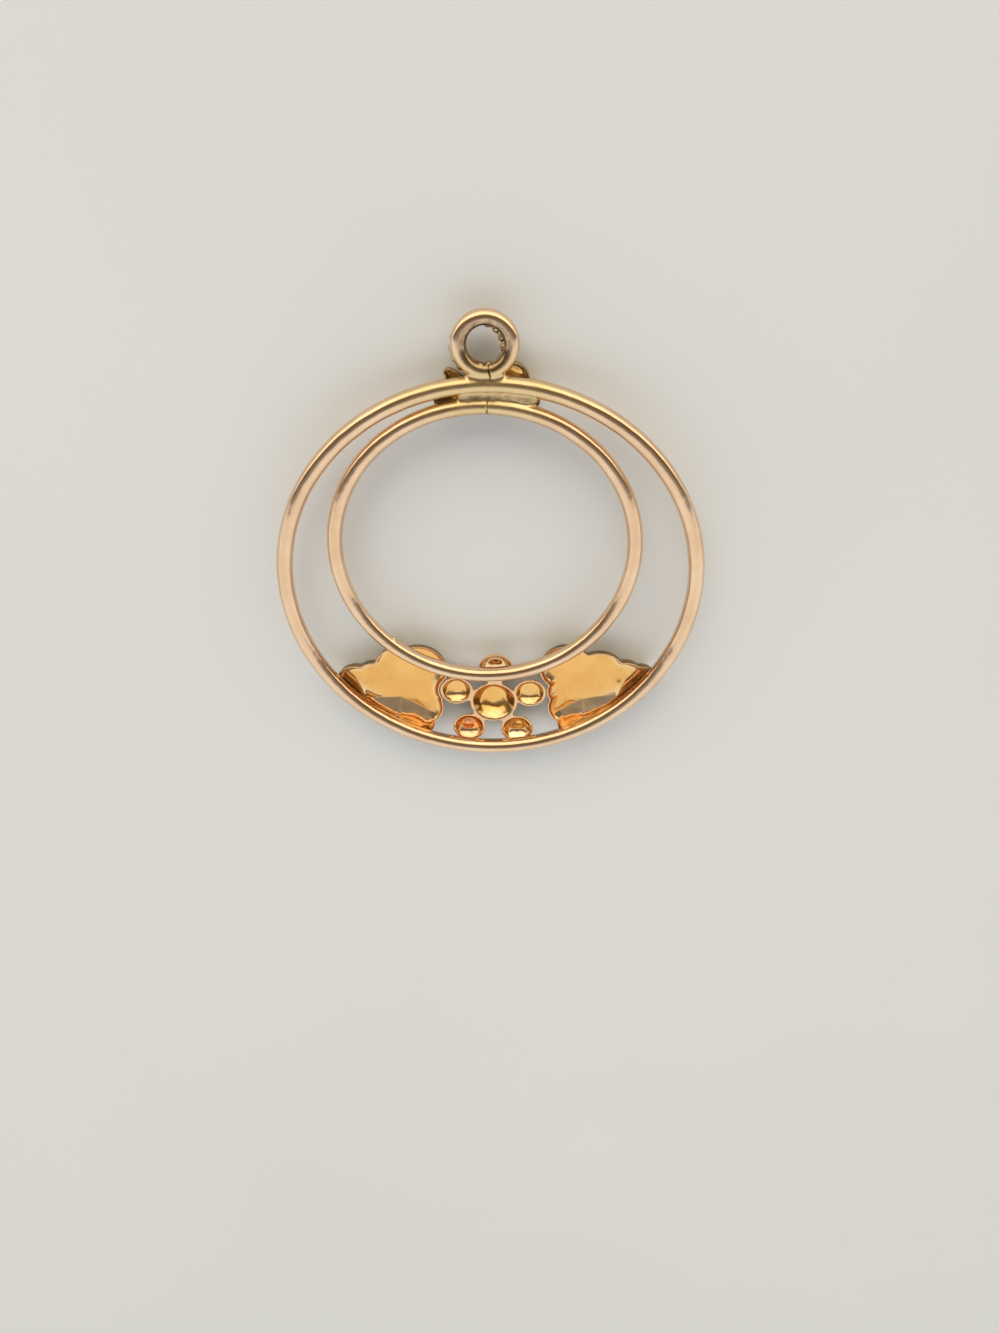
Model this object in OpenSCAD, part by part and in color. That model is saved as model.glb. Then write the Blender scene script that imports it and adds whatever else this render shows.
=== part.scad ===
// Circle pendant: two soldered wire rings, a bail ring, and hollow stampings on the front.
// It lies face down: +Z is its back, +Y points to the bail, Z = 0 is the surface it lies on.
// Measures are in millimetres. Ornaments are placed from the middle of the outer ring.

/* [Outer ring] */
// Diameter over the outer ring
outer_d = 26; // [24:0.5:28]
// Thickness of its round wire
outer_wire = 1; // [0.9:0.05:1.05]

/* [Inner ring] */
// Diameter over the inner ring
inner_d = 18.85; // [18.4:0.05:19.2]
// Thickness of its round wire
inner_wire = 0.95; // [0.85:0.05:1]
// How far the inner ring sits to the left of the middle
inner_left = 0.29; // [0:0.01:0.4]
// Gap between the two wires at the top, which the solder fills
ring_gap = 0.225; // [0.1:0.025:0.3]

/* [Bail] */
// Diameter of the hole that a chain or a jump ring goes through
bail_hole = 1.98; // [1.8:0.02:2.2]
// Thickness of the bail's round wire
bail_wire = 0.88; // [0.8:0.02:0.96]
// How deep the bail is sunk in the solder on the outer ring
bail_sink = 0.22; // [0.15:0.01:0.3]
// Diameter of one bead of the beaded ring
bead_d = 0.5; // [0.44:0.02:0.5]
// Number of beads
bead_count = 16; // [14:1:16]

/* [Flower] */
// Distance from the middle of the flower to the middle of a petal
petal_pitch = 2.64; // [2.5:0.02:2.66]
// Radius of a petal's hollow
petal_r = 0.92; // [0.84:0.01:0.94]
// Depth of a petal's hollow
petal_depth = 0.58; // [0.45:0.01:0.65]
// Radius of the boss's hollow at its rim
boss_r = 1.42; // [1.3:0.01:1.46]
// Radius of its flat floor
floor_r = 0.88; // [0.75:0.01:1]
// Depth of its floor
boss_depth = 0.75; // [0.6:0.01:0.85]

/* [Leaves and spray] */
// Depth of their hollow at the crease
hollow_depth = 1; // [0.8:0.02:1.1]
// Least depth of their hollow beside the wall
wall_depth = 0.48; // [0.4:0.02:0.6]
// Thickness of the stamped sheet
sheet = 0.25; // [0.22:0.01:0.3]

/* [Hidden] */
$fn = 96;

// Clearance between a stamping and the wire that it is soldered to, and between two others
gap = 0.02;
side_gap = 0.06;
rose_gold = "#D8AE8E";
yellow_gold = "#DDA23C";

// Radii of the wires' middle lines
outer_r = (outer_d - outer_wire) / 2;
inner_r = (inner_d - inner_wire) / 2;
bail_r = (bail_hole + bail_wire) / 2;

// Heights in the plane of the rings, from the middle of the outer ring
inner_y = outer_r - outer_wire / 2 - ring_gap - inner_wire / 2 - inner_r;
bail_y = outer_r + outer_wire / 2 + bail_wire / 2 - bail_sink + bail_r;
bead_off = 0.38;
bead_x = -bead_off;
bead_y = bail_y - bead_off;
bead_ring_r = 1.39;
bead_core = 0.3;
flower_x = 0.03;
flower_up = 3.27;
flower_y = -outer_r + flower_up;
flower_turn = -3.5;

// Depths in front of the rings' plane
rim_z = -outer_wire / 2 - gap;
bead_z = -(bail_wire / 2 + bead_d / 2 + side_gap);
front_z = rim_z - hollow_depth - sheet;

// The box around the pendant is centred on the origin
top_y = bail_y + bail_r + bail_wire / 2;
middle_y = (top_y - outer_d / 2) / 2;

// Solder between the rings, as angles on the outer ring, and at the foot of the bail
solder_from = 77.6;
solder_to = 96.2;
solder_thick = 0.6;
// How far it runs into a wire
solder_bite = 0.2;
foot_r = 0.95;
foot_up = 0.1;

// The flower
petal_count = 5;
// How far each petal is off its even place: degrees around, and out
petal_off = [[0, 0.1], [0, 0], [0, 0.02], [2, 0.07], [2, -0.13]];
flower_sheet = 0.16;
neck_w = 0.9;

// The rim of a leaf or spray is a flat land of this width
land = 0.17;

// A stamping's outline is the union of its lobes, which are discs
LOBE_X = 0;
LOBE_Y = 1;
LOBE_R = 2;

// Lobes of the left leaf, from the middle of the flower
left_lobes = [
    // x, y, radius
    [-9.10, 1.75, 1.20],
    [-7.85, 1.97, 1.22],
    [-6.18, 2.80, 1.55],
    [-4.85, 2.58, 1.86],
    [-4.05, 0.90, 0.95],
    [-4.78, -0.35, 1.42],
    [-5.33, -1.55, 1.35],
    [-7.63, -0.05, 1.75],
];
// The crease bends at the heart, and runs from it to the tip and to the base
left_heart = [-6.23, 0.05];
left_crease = [172.5, -26.25];
// How much the floor rises in a millimetre, above the crease and below it
leaf_rise = [0.14, 0.24];
// The lower edge of a leaf follows the outer ring at this distance past the wire's middle
leaf_past_ring = 0.25;

// The right leaf is drawn mirrored. Its upper edge is flatter and its crease steeper
right_lobes = [
    // x, y, radius
    [-9.25, 1.70, 1.16],
    [-8.30, 1.95, 1.20],
    [-6.50, 2.10, 1.82],
    [-4.35, 2.75, 1.72],
    [-4.05, 0.90, 0.95],
    [-4.70, -0.35, 1.50],
    [-5.25, -1.55, 1.40],
    [-7.63, -0.05, 1.75],
];
right_heart = [-5.53, -0.15];
right_crease = [161.25, -26.25];
right_shift = [0.4, -0.1];

// Lobes of the spray under the bail, from the top of the outer ring
spray_lobes = [
    // x, y, radius
    [1.45, 0.05, 0.95],
    [2.10, -1.00, 0.90],
    [-1.50, -0.10, 0.75],
    [-2.05, 0.45, 0.28],
    [-2.05, -0.95, 0.90],
    [0, -1, 0.80],
];
spray_heart = [0, -0.95];
spray_crease = [180, 0];
spray_rise = [0.3, 0.5];

// Directions around a stamping's heart, and the steps from the heart to the rim
directions = 96;
floor_share = 0.88;
steps = [0.3, 0.6, floor_share, 0.93, 0.97, 1];

// A round wire bent to a ring
module wire_ring(r, wire) {
    rotate_extrude()
        translate([r, 0])
            circle(d = wire);
}

// Part of a ball that hangs below the rim, over a circle of radius r
module cap(r, depth, grow = 0) {
    ball_r = (r * r + depth * depth) / (2 * depth);
    translate([0, 0, ball_r - depth])
        sphere(r = ball_r + grow);
}

// Keeps what is below a height
module below(z, size = 4) {
    intersection() {
        children();
        translate([0, 0, z - size])
            cylinder(r = size, h = size);
    }
}

// The boss is a cup with a flat floor and a sloping wall, here grown all around
module boss_cup(grow = 0) {
    deep = boss_depth + grow;
    translate([0, 0, -deep])
        cylinder(r1 = floor_r + grow, r2 = boss_r + grow, h = deep);
}

// Direction of a petal from the middle of the flower, counted from the top one
function petal_turn(i) = 90 + flower_turn + i * 360 / petal_count + petal_off[i][0];
function petal_out(i) = petal_pitch + petal_off[i][1];

module petal_places() {
    for (i = [0 : petal_count - 1])
        rotate(petal_turn(i))
            translate([petal_out(i), 0, 0])
                children();
}

// Flat necks that join the petals to the boss
module necks() {
    for (i = [0 : petal_count - 1])
        rotate(petal_turn(i))
            translate([boss_r, -neck_w / 2, -flower_sheet])
                cube([petal_out(i) - petal_r - boss_r, neck_w, flower_sheet]);
}

// Distance along a ray to where it leaves a disc, or 0 if it misses
function leaves_disc(from, ray, disc) =
    let (
        to = [disc[LOBE_X], disc[LOBE_Y]] - from,
        along = to * ray,
        chord = along * along - to * to + disc[LOBE_R] * disc[LOBE_R]
    )
    chord > 0 ? along + sqrt(chord) : 0;

// Distance along a ray to where it enters a disc, or a long way if it misses
function enters_disc(from, ray, disc) =
    let (
        to = [disc[LOBE_X], disc[LOBE_Y]] - from,
        along = to * ray,
        chord = along * along - to * to + disc[LOBE_R] * disc[LOBE_R]
    )
    chord > 0 && along > 0 ? along - sqrt(chord) : 100;

// Radius of the outline in one direction: out to the lobes, clear of the discs in
// keep_out, and inside the disc keep_in
function outline(from, ray, lobes, keep_out, keep_in) =
    min(
        max([for (lobe = lobes) leaves_disc(from, ray, lobe)]),
        min([for (disc = keep_out) enters_disc(from, ray, disc)]),
        leaves_disc(from, ray, keep_in)
    );

// Smallest angle between two directions
function between(a, b) =
    let (turn = abs(a - b) % 360)
    min(turn, 360 - turn);

// Distance from the crease, for a point at distance r from the heart
function off_crease(direction, r, crease) =
    r * sin(min(90, between(direction, crease[0]), between(direction, crease[1])));

// A direction on the upper side of the crease gives 0, one on the lower side 1
function side(direction, crease) =
    (direction - crease[1] + 360) % 360 < crease[0] - crease[1] ? 0 : 1;

// Share of the full depth: 1 over the floor of the hollow, 0 at the rim
function wall_share(step) =
    step <= floor_share ? 1 : sqrt(1 - pow((step - floor_share) / (1 - floor_share), 2));

// Depth of the hollow: deepest along the crease, and less with the distance from it
function hollow(step, direction, r, crease, rise) =
    let (
        out = off_crease(direction, r * min(step, floor_share), crease),
        deep = hollow_depth - out * rise[side(direction, crease)]
    )
    max(deep, wall_depth) * wall_share(step);

// A hollow sheet-metal stamping: an open back, a floor with a crease, a wall and a flat rim
module stamping(heart, lobes, crease, rise, keep_out, keep_in) {
    angles = [for (i = [0 : directions - 1]) i * 360 / directions];
    radii = [
        for (a = angles)
            outline(heart, [cos(a), sin(a)], lobes, keep_out, keep_in)
    ];
    function skin(radius_less, thick) = [
        for (step = steps)
            for (i = [0 : directions - 1])
                let (
                    r = radii[i] - radius_less,
                    depth = hollow(step, angles[i], r, crease, rise)
                )
                [
                    heart.x + step * r * cos(angles[i]),
                    heart.y + step * r * sin(angles[i]),
                    -depth - thick * wall_share(step)
                ]
    ];
    back = concat([[heart.x, heart.y, -hollow_depth]], skin(land, 0));
    front = concat([[heart.x, heart.y, -hollow_depth - sheet]], skin(0, sheet));
    rows = len(steps);
    function at(row, i) = 1 + row * directions + i % directions;
    function faces(base, flip) = [
        for (i = [0 : directions - 1])
            flip ? [base, base + at(0, i), base + at(0, i + 1)]
                 : [base, base + at(0, i + 1), base + at(0, i)],
        for (row = [0 : rows - 2])
            for (i = [0 : directions - 1])
                for (half = [0, 1])
                    let (
                        a = base + at(row, i),
                        b = base + at(row, i + 1),
                        c = base + at(row + 1, i + 1),
                        d = base + at(row + 1, i),
                        tri = half == 0 ? [a, b, c] : [a, c, d]
                    )
                    flip ? [tri[2], tri[1], tri[0]] : tri
    ];
    under = len(back);
    rim = [
        for (i = [0 : directions - 1])
            for (half = [0, 1])
                let (
                    a = at(rows - 1, i),
                    b = at(rows - 1, i + 1),
                    c = under + b,
                    d = under + a
                )
                half == 0 ? [a, b, c] : [a, c, d]
    ];
    polyhedron(points = concat(back, front), faces = concat(faces(0, false), rim, faces(under, true)));
}

// Everything is drawn around the outer ring's middle, then set down on its front
module lay_down() {
    translate([0, -middle_y, -front_z])
        children();
}

module solder() {
    rotate(solder_from)
        rotate_extrude(angle = solder_to - solder_from)
            translate([outer_r - outer_wire / 2 - ring_gap - solder_bite, -solder_thick / 2])
                square([ring_gap + 2 * solder_bite, solder_thick]);
    translate([0, outer_r + outer_wire / 2 + foot_up, -solder_thick / 2])
        cylinder(r = foot_r, h = solder_thick);
}

module wire_frame() {
    color(rose_gold)
        lay_down() {
            wire_ring(outer_r, outer_wire);
            translate([-inner_left, inner_y, 0])
                wire_ring(inner_r, inner_wire);
            translate([0, bail_y, 0])
                wire_ring(bail_r, bail_wire);
            difference() {
                solder();
                translate([0, bail_y, -solder_thick])
                    cylinder(r = bail_r, h = 2 * solder_thick);
            }
        }
}

module beaded_ring() {
    color(rose_gold)
        lay_down()
            translate([bead_x, bead_y, bead_z]) {
                wire_ring(bead_ring_r, bead_core);
                for (i = [0 : bead_count - 1])
                    rotate(i * 360 / bead_count)
                        translate([bead_ring_r, 0, 0])
                            sphere(d = bead_d);
            }
}

module flower() {
    color(yellow_gold)
        lay_down()
            translate([flower_x, flower_y, rim_z])
                difference() {
                    union() {
                        boss_cup(flower_sheet);
                        petal_places() below(0) cap(petal_r, petal_depth, flower_sheet);
                        necks();
                    }
                    boss_cup();
                    petal_places() cap(petal_r, petal_depth);
                }
}

// A leaf keeps clear of the petal beside it, and of the outer ring's far side
petal_clear = petal_r + flower_sheet + side_gap;

// The petals beside the left leaf and beside the right leaf
function petal_at(i) = petal_out(i) * [cos(petal_turn(i)), sin(petal_turn(i))];
left_petal = petal_at(1);
right_petal = petal_at(petal_count - 1);

module leaf_left() {
    color(yellow_gold)
        lay_down()
            translate([flower_x, flower_y, rim_z])
                stamping(
                    left_heart, left_lobes, left_crease, leaf_rise,
                    [[left_petal.x, left_petal.y, petal_clear]],
                    [-flower_x, -flower_y, outer_r + leaf_past_ring]
                );
}

module leaf_right() {
    color(yellow_gold)
        lay_down()
            translate([flower_x + right_shift.x, flower_y + right_shift.y, rim_z])
                mirror([1, 0, 0])
                    stamping(
                        right_heart, right_lobes, right_crease, leaf_rise,
                        [[right_shift.x - right_petal.x, right_petal.y - right_shift.y, petal_clear]],
                        [
                            flower_x + right_shift.x,
                            -flower_y - right_shift.y,
                            outer_r + leaf_past_ring
                        ]
                    );
}

module top_spray() {
    bead_clear = bead_ring_r + bead_d / 2 + side_gap;
    whole = [0, 0, outer_r];
    color(yellow_gold)
        lay_down()
            translate([0, outer_r, rim_z])
                stamping(
                    spray_heart, spray_lobes, spray_crease, spray_rise,
                    [[bead_x, bead_y - outer_r, bead_clear]],
                    whole
                );
}

wire_frame();
beaded_ring();
flower();
leaf_left();
leaf_right();
top_spray();
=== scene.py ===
import math

import bpy
import numpy as np
from mathutils import Matrix, Vector


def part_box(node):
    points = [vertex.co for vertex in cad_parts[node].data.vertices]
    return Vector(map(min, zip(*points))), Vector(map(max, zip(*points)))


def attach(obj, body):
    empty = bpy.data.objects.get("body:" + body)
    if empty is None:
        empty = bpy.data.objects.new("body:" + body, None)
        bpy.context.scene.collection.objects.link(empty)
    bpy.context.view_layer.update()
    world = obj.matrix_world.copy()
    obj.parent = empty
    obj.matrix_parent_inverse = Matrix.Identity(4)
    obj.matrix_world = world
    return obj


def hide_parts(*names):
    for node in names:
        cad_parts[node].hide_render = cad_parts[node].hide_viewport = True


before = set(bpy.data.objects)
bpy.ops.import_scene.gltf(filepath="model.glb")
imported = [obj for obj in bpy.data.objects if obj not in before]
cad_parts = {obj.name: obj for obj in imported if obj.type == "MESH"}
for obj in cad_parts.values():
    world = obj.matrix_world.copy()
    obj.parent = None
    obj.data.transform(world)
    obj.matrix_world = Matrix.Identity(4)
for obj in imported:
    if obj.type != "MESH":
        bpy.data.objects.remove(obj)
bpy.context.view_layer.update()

# Shapes are worked out in millimetres in the row frame, and set down in metres
MM = 0.001


def box_mm(node):
    low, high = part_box(node)
    return np.array(low) / MM, np.array(high) / MM


# The rings, from the frame where it holds them
frame_low, frame_high = box_mm("wire_frame")
OUTER_WIRE = float(frame_high[2] - frame_low[2])
RING_Z = float(frame_low[2] + frame_high[2]) / 2
OUTER_R = float(frame_high[0] - frame_low[0] - OUTER_WIRE) / 2
OUTER = np.array([0.0, float(frame_low[1]) + OUTER_R + OUTER_WIRE / 2, RING_Z])
INNER_WIRE = 0.95
INNER_R = 8.95
INNER = OUTER + np.array([-0.29, 2.35, 0.0])
BAIL_WIRE = 0.88
BAIL_R = 1.43
BAIL = np.array([0.0, float(frame_high[1]) - BAIL_R - BAIL_WIRE / 2, RING_Z])

# How far a ring strays from a circle, and how its wire thins: wavelength and depth of the waves
SAG = 0.008
THINNING = ((1.6, 0.006), (0.45, 0.0015))

# The solder between the two rings, as angles on the outer ring, and at the bail's foot
GAP_MIDDLE_R = 11.89
SOLDER_FROM, SOLDER_TO = 77.6, 96.2
SOLDER_R = 0.27
FOOT_R = 13.0
FOOT_FROM, FOOT_TO = 86.6, 93.2
# Its unevenness: height, and wavelengths between the rings and at the bail's foot
SOLDER_UNEVEN = 0.02
BAR_WAVE, FOOT_WAVE = 0.8, 0.7

# Fillets where the rings touch, along the solder and round the bail's foot
RING_FILLET = 0.06
SOLDER_FILLET = 0.24
BAIL_FILLET = 0.22

# Where the wires' ends meet: angle on the ring, half width and depth of the groove, and how round
# its edges are
INNER_SEAM = (87.9, 0.05, 0.11)
INNER_SEAM_ROUND = 0.05
BAIL_SEAM = (-82.0, 0.05, 0.22)
BAIL_SEAM_ROUND = 0.03
# How far the bail's right end is lifted there, how far round in radians, and how sharply it starts
BAIL_LIFT = 0.045
BAIL_LIFT_REACH = 0.5
BAIL_LIFT_START = 60

# Lumps of solder and dirt on the wires: x, y, z, radius
LUMPS = (
    (-0.44, 11.90, 1.74, 0.12),
    (-0.22, 11.85, 1.82, 0.10),
    (0.16, 11.90, 1.80, 0.11),
    (0.20, 9.14, 1.80, 0.10),
    (-6.09, -5.52, 1.80, 0.08),
)
LUMP_FILLET = 0.16

# Seeds of the random unevenness
OUTER_SEED, INNER_SEED, BAIL_SEED = 11, 21, 31
BAR_SEED, FOOT_SEED = 41, 42
BEAD_SEED = 5

# The beaded ring
beads_low, beads_high = box_mm("beaded_ring")
BEAD_R = float(beads_high[2] - beads_low[2]) / 2
BEADS = (beads_low + beads_high) / 2
BEADS_R = float(beads_high[0] - beads_low[0]) / 2 - BEAD_R
BEAD_CORE_R = 0.15
BEAD_COUNT = 16
# How much smaller than the largest a bead may be, and the fillets between the beads
BEAD_SMALLER = 0.02
BEAD_FILLET = 0.05

# The flower, from its middle on the plane of its rims
RIM_Z = RING_Z - OUTER_WIRE / 2 - 0.02
FLOWER = np.array([0.03, OUTER[1] - OUTER_R + 3.27, RIM_Z])
# Its petals: direction in degrees, distance from the middle, depth of the floor, and how far
# outside the rim the slope on the lower side starts
PETALS = (
    (86.5, 2.74, 0.42, 0.04),
    (158.5, 2.64, 0.44, 0.03),
    (230.5, 2.66, 0.42, 0.03),
    (304.5, 2.71, 0.46, -0.04),
    (16.5, 2.51, 0.42, 0.03),
)
PETAL_R = 0.92
PETAL_DEPTH = 0.58
BOSS_R = 1.42
FLOOR_R = 0.88
BOSS_DEPTH = 0.75
# The floor of the boss's hollow: radius, and how far it lies from the middle towards the bail
HOLLOW_FLOOR_R = 0.80
HOLLOW_FLOOR_UP = 0.12
FLOWER_SHEET = 0.16
NECK_W = 0.9
# Its roundings: round the floors of the boss and of a petal, each on the front and in the hollow,
# where a petal's slope starts, on a neck's ends and front, where petals and necks are joined on,
# and along the rims
BOSS_CORNER, BOSS_HOLLOW_CORNER = 0.12, 0.22
PETAL_CORNER, PETAL_HOLLOW_CORNER = 0.05, 0.10
SLOPE_CORNER = 0.08
NECK_END_CORNER, NECK_FRONT_CORNER = 0.05, 0.10
PETAL_FILLET, NECK_FILLET = 0.14, 0.20
RIM_ROUND = 0.06
# Unevenness of its hollows: wavelength, depth, seed
FLOWER_WAVES = ((0.5, 0.006, 51), (1.1, 0.009, 52))

# The leaves and the spray: depth of the front at the crease and by the wall, least depth of a
# floor, thickness of the sheet and where it is thinnest, width of the flat rim, rounding of edges
CREASE_DEPTH = 1.0
WALL_DEPTH = 0.48
LEAST_DEPTH = 0.18
SHEET = 0.25
LEAST_SHEET = 0.12
LAND = 0.10
EDGE_ROUND = 0.05
# Unevenness of their floors: long and short wavelength, height of the short waves against the long
# ones, and the share of the long ones above the crease, which is full this far below it
LONG_WAVE, SHORT_WAVE = 1.9, 0.7
SHORT_SHARE = 0.2
UPPER_SHARE = 0.4
FULL_BELOW = 0.6
# From where to where, past the heart, the hollow gets shallower and its wall wider
BASE_RUN = (0.3, 2.3)
BASE_WALL_RUN = (0.6, 1.8)
# Half widths of the step and of the ridge at a leaf's tip
TIP_STEP_HALF = 0.06
TIP_RIDGE_HALF = 0.09

# Lobes of the leaves from the middle of the flower, the right one mirrored: x, y, radius
LEFT_LOBES = (
    (-9.10, 1.75, 1.20),
    (-7.85, 1.97, 1.22),
    (-6.18, 2.80, 1.55),
    (-4.85, 2.58, 1.86),
    (-4.05, 0.90, 0.95),
    (-4.78, -0.35, 1.42),
    (-5.33, -1.55, 1.35),
    (-7.63, -0.05, 1.75),
)
RIGHT_LOBES = (
    (-9.25, 1.70, 1.16),
    (-8.30, 1.95, 1.20),
    (-6.50, 2.10, 1.82),
    (-4.35, 2.75, 1.72),
    (-4.05, 0.90, 0.95),
    (-4.70, -0.35, 1.50),
    (-5.25, -1.55, 1.40),
    (-7.63, -0.05, 1.75),
)
# Lobes of the spray from the top of the outer ring: x, y, radius
SPRAY_LOBES = (
    (1.45, 0.05, 0.95),
    (2.10, -1.00, 0.90),
    (-1.50, -0.10, 0.75),
    (-2.05, 0.45, 0.28),
    (-2.05, -0.95, 0.90),
    (0.0, -1.0, 0.80),
)

# Fineness of a stamping's plan, its margin, and how many times it is blurred
PLAN_STEP = 0.05
PLAN_ROOM = 0.6
PLAN_BLURS = 5

# Size of the mesh's cells on each piece, and how many of them lie round it
WIRE_CELL = 0.088
BEAD_CELL = 0.04
FLOWER_CELL = 0.042
STAMPING_CELL = 0.046
CELLS_ROUND = 3


# Distance fields: each takes x, y and z in millimetres and is below zero inside the metal

def join(a, b, round_by):
    """Both shapes, with a fillet of about this size where they meet."""
    share = np.clip(0.5 + 0.5 * (b - a) / round_by, 0, 1)
    return b + (a - b) * share - round_by * share * (1 - share)


def cut(a, b, round_by):
    """The first shape without the second, its edge rounded."""
    return -join(-a, b, round_by)


def common(a, b, round_by):
    """What is in both shapes, its edge rounded."""
    return -join(-a, -b, round_by)


def ball(x, y, z, middle, radius):
    return np.sqrt((x - middle[0]) ** 2 + (y - middle[1]) ** 2 + (z - middle[2]) ** 2) - radius


def nearest_turn(turn):
    """The same angle, between minus and plus half a turn."""
    return (turn + math.pi) % (2 * math.pi) - math.pi


def arc(x, y, z, middle, radius, thick_r, turn_from, turn_to):
    """A round bar bent along part of a circle, in degrees, with ball ends."""
    half = math.radians(turn_to - turn_from) / 2
    centre = math.radians(turn_from + turn_to) / 2
    dx, dy = x - middle[0], y - middle[1]
    turn = np.clip(nearest_turn(np.arctan2(dy, dx) - centre), -half, half) + centre
    near_x, near_y = radius * np.cos(turn), radius * np.sin(turn)
    return np.sqrt((dx - near_x) ** 2 + (dy - near_y) ** 2 + (z - middle[2]) ** 2) - thick_r


def true_ring(x, y, z, middle, radius, wire):
    """A ring of round wire, without unevenness."""
    return np.hypot(np.hypot(x - middle[0], y - middle[1]) - radius, z - middle[2]) - wire / 2


def waves(x, y, z, wavelength, seed, count=9):
    """Smooth unevenness between about -1 and 1: plane waves in fixed random directions."""
    draw = np.random.default_rng(seed)
    total = 0.0
    for _ in range(count):
        way = draw.normal(size=3)
        way *= 2 * math.pi / (wavelength * np.linalg.norm(way)) * draw.uniform(0.7, 1.4)
        phase = draw.uniform(0, 2 * math.pi)
        total = total + np.sin(way[0] * x + way[1] * y + way[2] * z + phase)
    return np.tanh(total / math.sqrt(count))


def wire_ring(x, y, z, middle, radius, wire, seed):
    """A round wire bent by hand to a ring: a little thinner here and there, never thicker."""
    dx, dy = x - middle[0], y - middle[1]
    turn = np.arctan2(dy, dx)
    draw = np.random.default_rng(seed)
    sag = 0.0
    for k in (2, 3, 5):
        sag = sag + np.sin(k * turn + draw.uniform(0, 2 * math.pi)) / k
    out = np.hypot(dx, dy) - (radius - SAG * (1 + sag))
    thin = 0.0
    for more, (wavelength, depth) in enumerate(THINNING):
        thin = thin + depth * (1 + waves(x, y, z, wavelength, seed + more))
    return np.hypot(out, z - middle[2]) - (wire / 2 - thin)


def seam_groove(x, y, middle, radius, wire_distance, seam):
    """A narrow V cut into a wire where its ends meet."""
    degrees, half, depth = seam
    turn = math.radians(degrees)
    across = -(x - middle[0]) * math.sin(turn) + (y - middle[1]) * math.cos(turn)
    side = (x - middle[0]) * math.cos(turn) + (y - middle[1]) * math.sin(turn)
    groove = np.abs(across) - half * (1 + wire_distance / depth)
    return np.maximum(groove, -side)


def bail_field(x, y, z):
    """The bail ring, whose right end stands a little proud of the left one at its seam."""
    turn = nearest_turn(np.arctan2(y - BAIL[1], x - BAIL[0]) - math.radians(BAIL_SEAM[0]))
    lift = BAIL_LIFT * np.exp(-(turn / BAIL_LIFT_REACH) ** 2) / (1 + np.exp(-turn * BAIL_LIFT_START))
    bail = wire_ring(x, y, z - lift, BAIL, BAIL_R, BAIL_WIRE, BAIL_SEED)
    return cut(bail, seam_groove(x, y, BAIL, BAIL_R, bail, BAIL_SEAM), BAIL_SEAM_ROUND)


def solder_bar(x, y, z):
    """The solder between the two rings."""
    return arc(x, y, z, OUTER, GAP_MIDDLE_R, SOLDER_R, SOLDER_FROM, SOLDER_TO)


def solder_foot(x, y, z):
    """The solder between the outer ring and the bail."""
    return arc(x, y, z, OUTER, FOOT_R, SOLDER_R, FOOT_FROM, FOOT_TO)


def wire_frame_field(x, y, z):
    outer = wire_ring(x, y, z, OUTER, OUTER_R, OUTER_WIRE, OUTER_SEED)
    inner = wire_ring(x, y, z, INNER, INNER_R, INNER_WIRE, INNER_SEED)
    inner = cut(inner, seam_groove(x, y, INNER, INNER_R, inner, INNER_SEAM), INNER_SEAM_ROUND)
    bar = solder_bar(x, y, z) + SOLDER_UNEVEN * waves(x, y, z, BAR_WAVE, BAR_SEED)
    foot = solder_foot(x, y, z) + SOLDER_UNEVEN * waves(x, y, z, FOOT_WAVE, FOOT_SEED)
    body = join(outer, inner, RING_FILLET)
    body = join(body, bar, SOLDER_FILLET)
    body = join(body, join(bail_field(x, y, z), foot, BAIL_FILLET), BAIL_FILLET)
    for lump in LUMPS:
        body = join(body, ball(x, y, z, lump[:3], lump[3]), LUMP_FILLET)
    return body


def beaded_ring_field(x, y, z):
    """Grains of slightly different sizes fused to a fine wire."""
    out = np.hypot(x - BEADS[0], y - BEADS[1]) - BEADS_R
    body = np.hypot(out, z - BEADS[2]) - BEAD_CORE_R
    draw = np.random.default_rng(BEAD_SEED)
    for i in range(BEAD_COUNT):
        turn = 2 * math.pi * i / BEAD_COUNT
        place = BEADS + BEADS_R * np.array([math.cos(turn), math.sin(turn), 0])
        smaller = draw.uniform(0, BEAD_SMALLER)
        body = join(body, ball(x, y, z, place, BEAD_R - smaller), BEAD_FILLET)
    return body


def petal_middle(petal):
    turn, out = math.radians(petal[0]), petal[1]
    return FLOWER + out * np.array([math.cos(turn), math.sin(turn), 0])


def boss_cup(x, y, z, grow, floor_r, floor_up, corner):
    """A cup with a sloping wall and a flat floor, grown all around."""
    deep = BOSS_DEPTH + grow
    lean = (BOSS_R - floor_r) / deep
    down = FLOWER[2] - z
    shift = floor_up * np.clip(down / deep, 0, 1)
    out = np.hypot(x - FLOWER[0], y - FLOWER[1] - shift)
    wall = (out - BOSS_R - grow + down * lean) / math.hypot(1, lean)
    return common(wall, down - deep, corner)


def petal_cup(x, y, z, petal, grow, floor, corner):
    """Part of a ball that hangs below the rims, its floor flattened at a depth."""
    ball_r = (PETAL_R ** 2 + PETAL_DEPTH ** 2) / (2 * PETAL_DEPTH)
    up = petal_middle(petal) + np.array([0, 0, ball_r - PETAL_DEPTH])
    return common(ball(x, y, z, up, ball_r + grow), FLOWER[2] - z - floor - grow, corner)


def petal_hollow(x, y, z, petal):
    """A petal's hollow, with an even slope on its lower side."""
    hollow = petal_cup(x, y, z, petal, 0, petal[2], PETAL_HOLLOW_CORNER)
    from_rim = y - petal_middle(petal)[1] + PETAL_R + petal[3]
    return common(hollow, (FLOWER[2] - z - from_rim) * math.sqrt(0.5), SLOPE_CORNER)


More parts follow.
